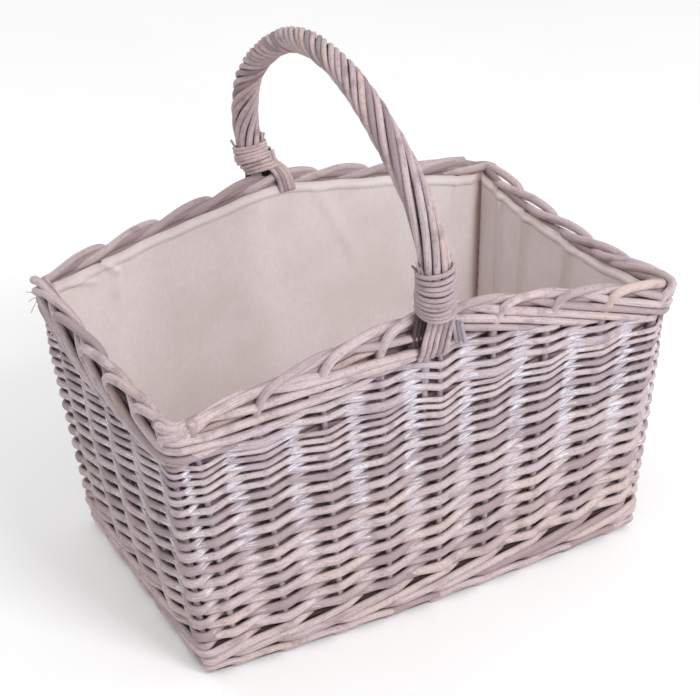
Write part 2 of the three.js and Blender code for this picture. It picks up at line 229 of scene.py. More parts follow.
class Bundle:
    """Rods that make one piece. Wear and painted light is above 0 where a rod is rubbed pale, with
    painted highlights where weavers cross, and below 0 where shade is painted in a recess.
    """

    def __init__(self, sides=10):
        self.sides = sides
        self.points, self.grain, self.tint, self.wear, self.loops, self.totals = [], [], [], [], [], []
        self.count = 0

    def rod(self, path, facing, across, tall, wear=0.0, inset=None, groove=0.0, closed=False):
        """A rod along path. across is its half size along facing, tall its half size square to that.

        The inset paints shade on what lies deep in the wall, and the groove shade paints shade on the
        sides that face other rods.
        """
        path = np.asarray(path, float)
        n, sides = len(path), self.sides
        if closed:
            along = unit(np.roll(path, -1, 0) - np.roll(path, 1, 0))
        else:
            along = unit(np.gradient(path, axis=0))
        facing = np.broadcast_to(np.asarray(facing, float), path.shape)
        first = unit(facing - (facing * along).sum(-1, keepdims=True) * along)
        second = np.cross(along, first)
        travel = np.concatenate([[0], np.cumsum(np.linalg.norm(np.diff(path, axis=0), axis=1))])
        across, tall, wear, groove = (
            np.broadcast_to(np.asarray(v, float), (n,)).copy() for v in (across, tall, wear, groove)
        )
        depth = np.zeros(n) if inset is None else np.broadcast_to(np.asarray(inset, float), (n,)).copy()
        rows = [path, first, second, across, tall, wear, travel, depth, groove]
        if not closed:
            rows = self.chamfered(rows, along)
            n = len(rows[0])
        path, first, second, across, tall, wear, travel, depth, groove = rows
        angle = np.arange(sides) * 2 * math.pi / sides
        wave, rise = np.cos(angle), np.sin(angle)
        ring = path[:, None] + first[:, None] * (across[:, None] * wave)[..., None]
        ring = ring + second[:, None] * (tall[:, None] * rise)[..., None]
        groove = np.reshape(groove, (-1, 1))
        # Painted shade on the sides that face other rods, and below, on what lies deep in the wall.
        worn_and_shaded = wear[:, None] - groove * grow(wave[None], GROOVE_START, -GROOVE_REACH)
        if inset is not None:
            worn_and_shaded = worn_and_shaded - grow(depth[:, None] - across[:, None] * wave, RECESS_START, RECESS_DEPTH)
        shift = vary(0, GRAIN_SHIFT)
        grain = [np.repeat(travel[:, None] * MM + shift, sides, 1), across[:, None] * wave * MM]
        grain = np.stack([*grain, tall[:, None] * rise * MM], -1)
        start = self.count
        self.points.append(ring.reshape(-1, 3) * MM)
        self.grain.append(grain.reshape(-1, 3))
        self.tint.append(np.full(n * sides, dice.random()))
        self.wear.append(worn_and_shaded.ravel())
        spans = np.arange(n if closed else n - 1)
        here, after = (spans * sides)[:, None], (((spans + 1) % n) * sides)[:, None]
        s = np.arange(sides)
        t = (s + 1) % sides
        quads = np.stack([here + s, here + t, after + t, after + s], -1).reshape(-1, 4) + start
        self.loops.append(quads.ravel())
        self.totals.append(np.full(len(quads), 4))
        if not closed:
            self.loops += [start + s[::-1], start + (n - 1) * sides + s]
            self.totals.append(np.array([sides, sides]))
        self.count += n * sides

    @staticmethod
    def chamfered(rows, along):
        """The rows of a rod's values with one more, smaller and paler, past each end."""
        path, first, second, across, tall, wear, travel, depth, groove = rows
        for end, sign in ((0, -1), (-1, 1)):
            reach = CHAMFER * min(across[end], tall[end])
            new = [path[end] + sign * along[end] * reach, first[end], second[end],
                   across[end] * END_SIZE, tall[end] * END_SIZE, wear[end] + END_WEAR,
                   travel[end] + sign * reach, depth[end], groove[end]]
            order = (lambda r, v: [[v], r]) if sign < 0 else (lambda r, v: [r, [v]])
            rows = [np.concatenate(order(r, v)) for r, v in zip(rows, new)]
        return rows

    def make(self, name, material, slot, nodes=()):
        """One object of all the rods, with what the willow materials read on its points."""
        mesh = bpy.data.meshes.new(name)
        points = np.concatenate(self.points)
        loops = np.concatenate(self.loops)
        totals = np.concatenate(self.totals)
        mesh.vertices.add(len(points))
        mesh.vertices.foreach_set("co", points.ravel())
        mesh.loops.add(len(loops))
        mesh.loops.foreach_set("vertex_index", loops)
        mesh.polygons.add(len(totals))
        starts = np.concatenate([[0], np.cumsum(totals)[:-1]])
        mesh.polygons.foreach_set("loop_start", starts)
        mesh.polygons.foreach_set("use_smooth", np.ones(len(totals), bool))
        mesh.update(calc_edges=True)
        mesh.validate()
        give(mesh, "grain", "FLOAT_VECTOR", np.concatenate(self.grain))
        give(mesh, "tint", "FLOAT", np.concatenate(self.tint))
        give(mesh, "wear", "FLOAT", np.concatenate(self.wear))
        settle(bpy.data.objects.new(name, mesh), material, nodes)


def give(mesh, name, kind, values):
    """Store values on the mesh's points."""
    attribute = mesh.attributes.new(name, kind, "POINT")
    attribute.data.foreach_set("vector" if kind == "FLOAT_VECTOR" else "value", values.ravel())


def settle(obj, material, nodes=()):
    """Put the object in the scene, with its material, body and the nodes that it replaces."""
    bpy.context.scene.collection.objects.link(obj)
    obj.data.materials.append(material)
    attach(obj, "root")
    if nodes:
        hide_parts(*nodes)


class Nodes:
    """Short names for building a node tree."""

    def __init__(self, name):
        self.material = bpy.data.materials.new(name)
        self.material.use_nodes = True
        self.tree = self.material.node_tree
        self.shader = self.tree.nodes["Principled BSDF"]

    def link(self, value, socket):
        if isinstance(value, bpy.types.NodeSocket):
            self.tree.links.new(value, socket)
        else:
            socket.default_value = value

    def node(self, kind, **inputs):
        node = self.tree.nodes.new(kind)
        for key, value in inputs.items():
            self.link(value, node.inputs[key])
        return node

    def attribute(self, name, output="Fac"):
        node = self.node("ShaderNodeAttribute")
        node.attribute_name = name
        return node.outputs[output]

    def place(self):
        """Where a point is on the object, in metres."""
        return self.node("ShaderNodeTexCoord").outputs["Object"]

    def noise(self, vector, scale, detail=3.0, rough=0.55):
        """Noise with a scale of its own along each axis."""
        scaled = self.node("ShaderNodeMapping", Vector=vector, Scale=scale).outputs["Vector"]
        node = self.node("ShaderNodeTexNoise", Vector=scaled, Scale=1.0, Detail=detail, Roughness=rough)
        return node.outputs["Fac"]

    def ramp(self, value, low, high, out_low=0.0, out_high=1.0):
        """Smoothly from out_low to out_high as the value goes from low to high."""
        node = self.node("ShaderNodeMapRange", Value=value)
        levels = {"From Min": low, "From Max": high, "To Min": out_low, "To Max": out_high}
        for key, level in levels.items():
            node.inputs[key].default_value = level
        node.interpolation_type = "SMOOTHSTEP"
        return node.outputs["Result"]

    def math(self, operation, a, b=None):
        node = self.node("ShaderNodeMath")
        node.operation = operation
        self.link(a, node.inputs[0])
        if b is not None:
            self.link(b, node.inputs[1])
        return node.outputs[0]

    def colour(self, factor, a, b, blend="MIX"):
        node = self.node("ShaderNodeMix")
        node.data_type = "RGBA"
        node.blend_type = blend
        self.link(factor, node.inputs[0])
        for socket, value in ((node.inputs[6], a), (node.inputs[7], b)):
            self.link(value if isinstance(value, bpy.types.NodeSocket) else (*value, 1.0), socket)
        return node.outputs[2]

    def layer(self, below, above, mask, low, high, amount):
        """Some of the colour above over the one below, where the mask goes from low to high."""
        return self.colour(self.math("MULTIPLY", self.ramp(mask, low, high), amount), below, above)

    def bump(self, height, distance, strength):
        node = self.node("ShaderNodeBump", Height=height, Distance=distance, Strength=strength)
        self.link(node.outputs["Normal"], self.shader.inputs["Normal"])


def linear(*colour):
    """An sRGB colour, 0 to 255, as linear numbers."""
    shares = (c / 255 for c in colour)
    return tuple(c / 12.92 if c <= 0.04045 else ((c + 0.055) / 1.055) ** 2.4 for c in shares)


# Dark specks in the bark, and the deepest painted shade.
SPECK, DEEP_SHADE = linear(92, 74, 70), linear(66, 48, 50)
# The willow's colour is multiplied by the first of these below and by the second above, in metres.
CASTS, CAST_HEIGHTS = ((1.0, 0.965, 0.94), (0.97, 0.975, 1.0)), (0.05, 0.2)


def willow(name, *colours):
    """Washed willow: streaks along the rod, tan and dark stretches, pale rubs with painted highlights,
    and painted shade in recesses.
    """
    middle, dark, tan, pale_rub_and_highlight, recess_shade = (linear(*colour) for colour in colours)
    n = Nodes(name)
    grain = n.attribute("grain", "Vector")
    tint, wear = n.attribute("tint"), n.attribute("wear")
    streak = n.noise(grain, (45, 1300, 1300), 4, 0.6)
    blotch = n.noise(grain, (60, 90, 90), 3, 0.6)
    long_blotch = n.noise(grain, (14, 40, 40), 2, 0.5)
    fine = n.noise(grain, (260, 4200, 4200), 2, 0.7)
    speck = n.noise(grain, (300, 900, 900), 2, 0.5)
    colour = n.colour(n.ramp(streak, 0.24, 0.6, 0.2, 1.0), dark, middle)
    colour = n.layer(colour, tan, tint, 0.66, 1.0, 0.5)
    colour = n.layer(colour, dark, tint, 0.42, 0.0, 0.75)
    colour = n.layer(colour, tan, long_blotch, 0.5, 0.7, 0.4)
    colour = n.layer(colour, dark, blotch, 0.5, 0.7, 0.65)
    thin = n.noise(grain, (50, 1200, 1200), 2, 0.5)
    patches = n.ramp(n.noise(grain, (30, 300, 300), 2, 0.5), 0.36, 0.6, 0.25, 1.0)
    # Pale rubbed wash, with painted highlights where the weavers cross.
    rub_and_painted_highlight = n.math("MULTIPLY", n.ramp(thin, 0.51, 0.55), n.ramp(wear, 0.05, 0.6))
    colour = n.colour(n.math("MULTIPLY", rub_and_painted_highlight, patches), colour, pale_rub_and_highlight)
    mottle = n.noise(grain, (420, 700, 700), 3, 0.7)
    colour = n.layer(colour, dark, mottle, 0.54, 0.68, 0.7)
    colour = n.layer(colour, SPECK, speck, 0.68, 0.78, 0.6)
    # Painted shade: the recess colour below 0, and a deeper shade further down.
    colour = n.colour(n.ramp(wear, -0.12, -0.9), colour, recess_shade)
    colour = n.colour(n.ramp(wear, -1.6, -2.4), colour, DEEP_SHADE)
    height = n.node("ShaderNodeSeparateXYZ", Vector=n.place()).outputs["Z"]
    colour = n.colour(1.0, colour, n.colour(n.ramp(height, *CAST_HEIGHTS), *CASTS), "MULTIPLY")
    n.link(colour, n.shader.inputs["Base Color"])
    n.link(n.ramp(fine, 0.3, 0.7, 0.52, 0.78), n.shader.inputs["Roughness"])
    n.bump(n.math("ADD", n.math("MULTIPLY", streak, 0.7), n.math("MULTIPLY", fine, 0.3)), 0.0007, 0.7)
    return n.material


# Each material's middle, dark, tan, pale and recess colours: the pale one is rubbed wash with painted
# highlights, the recess one painted shade.
RECESS_SHADE = (152, 131, 132)
WEAVER = willow("willow_weavers", (215, 200, 205), (158, 138, 143), (219, 201, 195),
                (236, 241, 252), RECESS_SHADE)
BORDER = willow("willow_border_rods", (217, 199, 200), (158, 137, 140), (226, 198, 180),
                (238, 236, 246), RECESS_SHADE)
STAKE = willow("willow_stakes", (184, 174, 184), (136, 122, 130), (192, 174, 166),
               (214, 216, 232), (96, 80, 84))
HANDLE = willow("willow_handle_rods", (208, 189, 191), (142, 122, 127), (222, 186, 168),
                (228, 224, 236), (74, 54, 54))

THREAD = 0.0011  # metres from a thread of the linen to the next but one


def linen_material(name, shadowed=False):
    """Plain-weave linen with slubs. The face against the willow is darker, with painted shade."""
    n = Nodes(name)
    where = n.place()
    parts = n.node("ShaderNodeSeparateXYZ", Vector=where)
    slub = n.noise(where, (420, 420, 170), 3, 0.6)
    cross = n.noise(where, (60, 60, 1100), 3, 0.6)
    soft = n.noise(where, (22, 22, 22), 3, 0.5)
    if shadowed:
        base = n.colour(n.ramp(slub, 0.3, 0.7), linear(204, 182, 180), linear(220, 198, 196))
    else:
        base = n.colour(n.ramp(slub, 0.3, 0.7), linear(233, 223, 222), linear(240, 230, 229))
        base = n.layer(base, linear(227, 215, 214), cross, 0.5, 0.75, 0.35)
        base = n.layer(base, linear(226, 212, 209), soft, 0.35, 0.7, 0.6)
        # Painted shade from the cloth's points: the seam, under the border and hem, and the folds.
        base = n.colour(n.attribute("painted_shade"), base, linear(150, 108, 96))
    n.link(base, n.shader.inputs["Base Color"])
    n.shader.inputs["Roughness"].default_value = 0.95
    n.shader.inputs["Sheen Weight"].default_value = 0.2
    n.shader.inputs["Sheen Roughness"].default_value = 0.6
    waves = []
    for axis in ("X", "Y", "Z"):
        waves.append(n.math("SINE", n.math("MULTIPLY", parts.outputs[axis], 2 * math.pi / THREAD)))
    weave = n.math("MULTIPLY", n.math("ADD", waves[0], waves[1]), waves[2])
    n.bump(n.math("ADD", weave, n.math("MULTIPLY", slub, 0.6)), 0.0002, 0.6)
    return n.material


LINEN = linen_material("linen")
LINEN_OUTSIDE_SHADED = linen_material("linen_outer_face_shaded", shadowed=True)


def lap(bundle, arcs, heights, insets, across, tall, shade=None, **looks):
    """A rod along the wall, whose middle has these heights and insets. Shade replaces its depth."""
    path = wall(station(arcs), heights, insets)
    bundle.rod(path, outwards(arcs), across, tall, inset=insets if shade is None else shade, **looks)


def node_names(prefix):
    """The frame's nodes whose names begin so."""
    return [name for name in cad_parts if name.startswith(prefix)]


# The side is French randed: one weaver starts at every upright, goes in front of every other one and
# climbs a level each time. It starts at its thick end, so the levels get closer upwards.
LEVELS = np.array([38, 51, 64.2, 77.5, 90.5, 103.2, 115.6, 127.6, 139, 149.8, 159.8, 169.2, 177.8,
                   185.6, 192.8, 199.2])
LEVEL_NUMBERS, PITCHES = np.arange(len(LEVELS)), np.gradient(LEVELS)
LEVEL_SPANS = 2 * (len(LEVELS) - 1)
POINTS_PER_SPAN = 14
# A weaver's ends: how many uprights it starts before the first level and ends past the last, and how
# much it rises there per level.
START_SPANS, END_SPANS = 0.7, 0.6
START_RISE, END_RISE = 6.4, 3.2
# How far it drops in front of an upright, low and high on the side, and further by the handle's feet.
SAG_LOW, SAG_HIGH, SAG_AT_BOW = 0.6, 1.3, 3.5
SAG_MIDDLE, SAG_REACH = 2, 26  # where along the basket that further drop is, and how far it reaches
WEAVER_REACH = 7.3  # from the wall's middle to a weaver's outer face


ZIGZAG = 0.985  # 1 would make a weaver quite straight between uprights, with a kink at each


def in_front(turn):
    """From 1 in front of an upright to -1 behind it, nearly straight in between."""
    return np.arcsin(ZIGZAG * np.cos(math.pi * turn)) / math.asin(ZIGZAG)


def rub_and_painted_highlight(turn):
    """Where a weaver crosses the wall between two uprights, the wash stands out white, with painted
    highlights.
    """
    return grow(np.abs(np.cos(math.pi * turn)), 0.62, -0.3)


def unevenness(arcs, z):
    """How far the rows stray from level, in common for all the rods at a place."""
    a = 2 * math.pi * arcs / ROUND
    fade = grow(z, 45, 30) * grow(z, 205, -20)
    return fade * (1.3 * np.sin(5 * a + 1) + 0.9 * np.sin(11 * a + z / 40) + 0.5 * np.sin(17 * a))


def sag(arcs, z, front):
    """How much a rod drops where it passes in front of an upright, most of all by the handle's feet."""
    sx, sy, angle = station(arcs)
    drop = mix(SAG_LOW, SAG_HIGH, grow(z, 60, 100))
    away = np.abs(sx * RIM_LENGTH / 2 - SAG_MIDDLE)
    by_bow = np.clip(1 - away / SAG_REACH, 0, 1) * (np.abs(sy) > 0.999)
    return (drop + SAG_AT_BOW * by_bow * grow(z, 170, 40)) * np.maximum(front, 0)


def arc_from_corner(arcs):
    """Arc length to the nearest corner."""
    corners = UPRIGHTS[1][CORNER_POSTS]
    away = (np.asarray(arcs)[:, None] - corners + ROUND / 2) % ROUND - ROUND / 2
    return np.abs(away).min(1)


def woven_side():
    group = Bundle()
    points = int((START_SPANS + LEVEL_SPANS + END_SPANS) * POINTS_PER_SPAN)
    turn = np.linspace(-START_SPANS, LEVEL_SPANS + END_SPANS, points)
    level, marks = turn / 2, np.arange(-1, LEVEL_SPANS + 2)
    pitch = np.interp(level, LEVEL_NUMBERS, PITCHES)
    front = in_front(turn)
    for j in range(COUNT):
        z = np.interp(level, LEVEL_NUMBERS, LEVELS) + START_RISE * np.minimum(level, 0)
        z = z + END_RISE * np.maximum(level - LEVEL_NUMBERS[-1], 0)
        arcs = arc_at(j + turn, z)
        stray, swell = (np.interp(turn, marks, dice.normal(0, 1, len(marks))) for _ in range(2))
        z = z + unevenness(arcs, z) + 0.45 * stray * grow(z, 196, -10)
        thick = pitch / 4 * vary(0.94, 0.12) * (1 + 0.06 * swell)
        across = np.minimum(thick * 0.86, 2.75)
        tall = thick * (1.06 + 0.22 * np.maximum(front, 0) + 0.4 * np.maximum(-front, 0))
        z = z - sag(arcs, z, front)
        at_corner = bell(arc_from_corner(arcs), 14)
        hug = mix(0.4, -2.2, grow(z, 170, 25))
        inset = MIDDLE_INSET - front * (WEAVER_REACH + hug * at_corner - across)
        # Rubbed wash with painted highlights at the crossings, stronger higher up.
        pale_rub_and_highlight = rub_and_painted_highlight(turn) * mix(0.4, 1.0, grow(z, 60, 90))
        on_short = np.abs(station(arcs)[0]) > 1 - TINY
        # Painted shade between the rods, deeper on the short sides.
        lap(group, arcs, z, inset, across, tall, wear=pale_rub_and_highlight, groove=np.where(on_short, 0.75, 0.42))
    group.make("woven_side", WEAVER, "willow_weave", ["side_weave"])


UPRIGHT_START, UPRIGHT_POINTS = 14, 50


def uprights():
    group = Bundle(8)
    for j in range(COUNT):
        z = np.linspace(UPRIGHT_START, BORDER_BOTTOM + 8, UPRIGHT_POINTS)
        arcs = arc_at(np.full(UPRIGHT_POINTS, j), z)
        z = z + arch(arcs) * (z - UPRIGHT_START) / (z[-1] - UPRIGHT_START)
        radius = np.linspace(2.7, 2.3, UPRIGHT_POINTS)
        path = wall(station(arcs), z, np.full(UPRIGHT_POINTS, MIDDLE_INSET))
        group.rod(path, outwards(arcs), radius, radius, wear=0.35)
    names = node_names("stake_") + node_names("corner_post_")
    group.make("uprights", STAKE, "willow_stakes", names)


def level_ring(group, z, inset, radius, wear=-1.9):
    """A rod all round, behind the others, so that there is no gap between them, dark with painted shade.
    """
    arcs = all_round(329)
    z, inset = np.full(len(arcs), z), np.full(len(arcs), inset)
    lap(group, arcs, z, inset, radius, radius, wear=wear, closed=True)


def foot():
    """The plait that the basket stands on, and the waling that slants up from it."""
    plait = Bundle()
    for j in range(COUNT):
        u = np.linspace(0, 1, 26)
        bend = np.sin(math.pi * u)
        z = 3.9 + 6.4 * bend**0.8 - u
        inset = 7.5 - 5.0 * bend**0.6
        radius = 3.8 * (1 - 0.35 * u) * vary(0.92, 0.16)
        lap(plait, arc_at(j + mix(-0.15, 1.25, u), z), z, inset, radius, radius, groove=0.8)
    for z, inset in ((3.4, 8.5), (6.4, 9.7)):
        level_ring(plait, z, inset, 3.0)
    plait.make("foot_plait", WEAVER, "willow_weave", ["foot_border"])
    wale = Bundle()
    for j in range(COUNT):
        u = np.linspace(0, 1, 46)
        t = mix(-0.2, 2.5, u)
        z = mix(12.5, 31.5, u)
        ends = 5.5 * grow(u, 0.86, 0.14) + 4.5 * grow(u, 0.12, -0.12)
        inset = 4.2 - 2.0 * np.sin(math.pi * u) + ends
        radius = mix(3.9, 3.2, u) * vary(0.9, 0.2)
        z = z + 0.6 * np.sin(3 * t + phase())
        lap(wale, arc_at(j + t, z), z, inset, radius * 0.85, radius, wear=0.05, groove=0.75)
    for k in range(4):
        level_ring(wale, 15.5 + 5.2 * k, 9.3, 3.0)
    level_ring(wale, 34.8, 7.0, 3.4, wear=-0.5)
    wale.make("foot_wale_rods", WEAVER, "willow_weave", ["foot_wale"])


# A border rod's way, in uprights passed: its height as a share of the border's, and its inset. It
# comes up, bends over, passes behind the next one and then runs down the outside.
BORDER_WAY = (
    (-0.06, -0.45, 7.5), (-0.03, 0.20, 5.5), (0.0, 0.50, 2.4), (0.06, 0.72, 0.9), (0.16, 0.85, 1.0),
    (0.35, 0.92, 2.6), (0.6, 0.94, 5.0), (0.85, 0.91, 8.3), (1.05, 0.86, 10.6), (1.3, 0.79, 11.2),
    (1.55, 0.73, 8.2), (1.8, 0.67, 4.4), (2.0, 0.62, 2.5), (2.5, 0.50, 1.9), (3.0, 0.38, 1.9),
    (3.5, 0.26, 2.0), (4.0, 0.14, 2.2), (4.4, 0.05, 3.4), (4.8, 0.0, 8.0),
)
BORDER_POINTS, SMOOTHING = 130, 4  # a rod's points, and how many on each side are averaged
LONG_SPACING, SHORT_SPACING = 49.5, 56.0  # how far a rod advances for each upright that it passes
BORDER_LAG = 46.0  # how far back the arch is measured where a rod runs down the outside
SHORT_SIDE_DROP = 0.34  # how much lower it runs on a short side, as a share of the border's height


def smoothed(values):
    """A column of a border rod's way at each of its points, rounded by averaging."""
    fine = np.interp(np.linspace(0, 1, BORDER_POINTS), np.linspace(0, 1, len(values)), values)
    kernel = np.hanning(2 * SMOOTHING + 1)
    padded = np.concatenate([np.full(SMOOTHING, fine[0]), fine, np.full(SMOOTHING, fine[-1])])
    return np.convolve(padded, kernel / kernel.sum(), "valid")


def border_rod(group, j, way, thick=1.0, lift=0.0, inwards=0.0):
    """The rod that starts at upright j. Lift and inwards shift its bend."""
    t, h, inset = (smoothed(column) for column in zip(*way))
    from_short = CORNER_POSTS[1] <= j < CORNER_POSTS[2] or j >= CORNER_POSTS[3]
    arcs = arc_at(j, RIM_LEVEL) + t * (SHORT_SPACING if from_short else LONG_SPACING)
    on_short = short_share(station(arcs)[1])
    run = grow(t, 1.2, 3.3)
    h = h - SHORT_SIDE_DROP * on_short * grow(t, 1.4, 1.2)
    z = BORDER_BOTTOM + h * BORDER_HEIGHT + np.minimum(arch(arcs), arch(arcs - BORDER_LAG * run))
    z = z + lift * bell(t - 0.12, 0.32)
    inset = inset + inwards * bell(t - 0.4, 0.25)
    radius = np.interp(t, [0, 1, 2, 4, 4.8], [3.6, 3.6, 3.5, 3.0, 2.2])
    radius = radius * vary(0.92, 0.14) * thick
    inset = inset + 0.5 * np.sin(t * 2.3 + phase())
    # Painted shade on the rod's start below the border and on its tail inside the wall.
    hidden_shade = grow(t, 0, -0.05) + 0.7 * grow(t, 4.2, 0.6)
    lap(group, arcs, z, inset, radius, radius, shade=0.0, wear=0.1 - hidden_shade, groove=0.5)


# Rods laid in where the border closes, with a cut end on top: the upright that each starts near, its
# start in uprights from there, its height as a share and its inset at that end, and its thickness.
LAID_IN = ((0, -0.12, 0.93, 1.0, 1.12), (0, 0.12, 0.70, 1.6, 1.0), (16, 0.1, 1.04, 5.0, 1.0),
           (16, -0.42, 0.82, 2.0, 1.0))
# Their way after the first two points, which depend on the start.
LAID_IN_WAY = ((0.7, 0.93, 3.0), (1.05, 0.90, 4.4), (1.4, 0.84, 6.4), (1.75, 0.76, 7.2),
               (2.1, 0.68, 5.5), *BORDER_WAY[13:])
CUT_SHORT = 1  # the upright whose rod isn't bent over but cut off
BENT_ELSEWHERE = {24: (4.0, 2.0), 25: (-3.0, 0.0)}  # how much higher and further inwards some rods bend
# Rods that fill the border's middle, where the others' ends are: height as a share of the border's,
# inset, and painted shade on the long and short sides.
CORE_RODS = ((0.40, 8.2, -0.3, -1.4), (0.64, 8.8, -0.5, -1.6), (0.82, 8.4, -0.25, -0.4))


def top_border():
    group = Bundle(12)
    arcs = all_round(399)
    wander = 0.7 * np.sin(arcs / 19)
    on_short = short_share(station(arcs)[1])
    for share, inset, wear, wear_on_short in CORE_RODS:
        z = BORDER_BOTTOM + share * BORDER_HEIGHT + arch(arcs) + wander - 5.0 * on_short**2
        inset = inset + wander + 2.0 * on_short
        wear = mix(wear, wear_on_short, on_short)
        lap(group, arcs, z, inset, 3.2, 3.3, shade=0.0, wear=wear, groove=0.5, closed=True)
    for j in range(COUNT):
        if j != CUT_SHORT:
            border_rod(group, j, BORDER_WAY, 1.0, *BENT_ELSEWHERE.get(j, ()))
    for j, back, height, inset, thick in LAID_IN:
        second = (back + 0.3, mix(height, 0.94, 0.3), mix(inset, 3.0, 0.4))
        border_rod(group, j, ((back, height, inset), second, *LAID_IN_WAY), thick)
    z = BORDER_BOTTOM + np.linspace(14, 33, 8)
    arcs = np.full(8, float(arc_at(CUT_SHORT, RIM_LEVEL)) - 2)
    lap(group, arcs, z, np.linspace(5.5, -0.6, 8), 3.9, 4.1, shade=0.0, wear=0.2, groove=0.5)
    group.make("border_rods", BORDER, "willow_border", ["top_border"])


PACKING_LEVEL, PACKING_PITCH, PACKING_ROWS = 205.0, 4.9, 9


def packing():
    """Short rows, plainly randed, from the level rows up to the arched border."""
    for side, name in ((0, "front"), (2, "back")):
        group = Bundle()
        for k in range(PACKING_ROWS):
            level = PACKING_LEVEL + PACKING_PITCH * k
            arcs = np.linspace(arc_of(side, -1), arc_of(side, 1), 400)
            inside = arcs[BORDER_BOTTOM + arch(arcs) > level - 2]
            if len(inside) < 30:  # the row would be too short
                continue
            arcs = np.linspace(inside[0], inside[-1], max(24, int((inside[-1] - inside[0]) / 4)))
            turn = np.interp(arcs, arc_at(np.arange(COUNT), level), np.arange(COUNT)) + k
            front = in_front(turn)
            thick = 2.5 if k else 3.6
            tall = thick * (1.04 + 0.1 * np.maximum(front, 0) + 0.45 * np.maximum(-front, 0))
            inset = MIDDLE_INSET - front * 4.4
            z = np.full(len(arcs), level) + 0.4 * np.sin(arcs / 40 + phase())
            z = z - sag(arcs, z, front)
            lap(group, arcs, z, inset, 2.4, tall, wear=rub_and_painted_highlight(turn), groove=0.4)
        group.make(f"packing_rows_{name}", WEAVER, "willow_weave", [f"packing_{name}"])


def bspline(controls, count):
    """Points along the clamped cubic B-spline of the control points, evenly spaced along it."""
    c = np.asarray(controls, float)
    degree, n = 3, len(controls)
    last = n - degree
    knots = np.clip(np.arange(-degree, last + degree + 1), 0, last).astype(float)
    out = []
    for u in np.linspace(0, last, 1200):
        k = int(np.clip(np.searchsorted(knots, u, side="right") - 1, degree, n - 1))
        d = [c[j + k - degree].copy() for j in range(degree + 1)]
        for r in range(1, degree + 1):
            for j in range(degree, r - 1, -1):
                i = j + k - degree
                a = (u - knots[i]) / (knots[i + degree - r + 1] - knots[i])
                d[j] = (1 - a) * d[j - 1] + a * d[j]
        out.append(d[degree])
    out = np.array(out)
    travel = np.concatenate([[0], np.cumsum(np.linalg.norm(np.diff(out, axis=0), axis=1))])
    places = np.linspace(0, travel[-1], count)
    return np.stack([np.interp(places, travel, out[:, i]) for i in range(3)], -1), travel[-1]


ARCH_MIDDLE = CORNER_HEIGHT + ARCH_RISE
BORDER_TOP = ARCH_MIDDLE + BORDER_HEIGHT / 2
BOW_POINTS = 400


def bow_path():
    """The bow's middle line, from the front foot to the back one, and its length."""

    def lean(z):
        return BOW_X - BOW_LEAN * max(0.0, (z - BORDER_TOP) / (BOW_APEX - BORDER_TOP))

    def half(side):
        in_wall = [(ARCH_MIDDLE - share * BOW_FOOT_DEPTH, MIDDLE_INSET) for share in BOW_WALL]
        in_wall.append((ARCH_MIDDLE + BORDER_HEIGHT / 4, MIDDLE_INSET - BOW_FLARE))
        middle = (0.0, side, side * math.pi / 2)
        points = [[BOW_X, *wall(middle, z, inset)[1:]] for z, inset in in_wall]
        for out, rise in BOW_ARCH:
            z = mix(ARCH_MIDDLE, BOW_APEX, rise)
            points.append([lean(z), side * BOW_REACH * out, z])
        return points

    top = [[lean(BOW_APEX), 0, mix(ARCH_MIDDLE, BOW_APEX, BOW_TOP)]]
    return bspline(half(-1) + top + half(1)[::-1], BOW_POINTS)


BOW, BOW_LENGTH = bow_path()
BOW_STEP = BOW_LENGTH / (BOW_POINTS - 1)
BOW_ALONG = unit(np.gradient(BOW, axis=0))
BOW_ACROSS = unit(np.array([BOW_APEX - BORDER_TOP, 0, BOW_LEAN]))
BOW_FIRST = unit(BOW_ACROSS - (BOW_ALONG @ BOW_ACROSS)[:, None] * BOW_ALONG)
BOW_SECOND = np.cross(BOW_ALONG, BOW_FIRST)
ROPE_RODS = 9
ROPE_ENDS = 283.0, 287.0  # heights where the twisted rods end, at the front and the back
BINDING_START = 276.0  # height from which the bindings go up
BINDING_RADIUS = 13.4
# Of each binding: turns, rise per turn, fall of the first half turn, start along the bow, and how far
# its lower end is drawn aside.
BINDINGS = {-1: (10, 4.0, 17.0, 2.0, 4.0), 1: (8, 3.2, 8.0, -2.0, 10.0)}


def round_bow(index, angle, radius):
    """Places round the bow at fractional indices of its points, and the directions out to them."""
    steps = np.arange(BOW_POINTS)
    centre, first, second = (
        np.stack([np.interp(index, steps, values[:, i]) for i in range(3)], -1)
        for values in (BOW, BOW_FIRST, BOW_SECOND)
    )
    out = first * np.cos(angle)[:, None] + second * np.sin(angle)[:, None]
    return centre + out * np.reshape(radius, (-1, 1)), out


def bow_stick():
    stick = Bundle()
    buried = grow(BOW[:, 2], 250, -70)
    inwards = np.sign(BOW[:, 1:2]) * np.array([0, -1, 0])
    path = BOW + inwards * buried[:, None] * 1.2
    stick.rod(path, BOW_FIRST, mix(5, 1.6, buried), mix(4.6, 1.6, buried))
    stick.make("bow_stick", STAKE, "willow_stakes", ["handle_bow"])


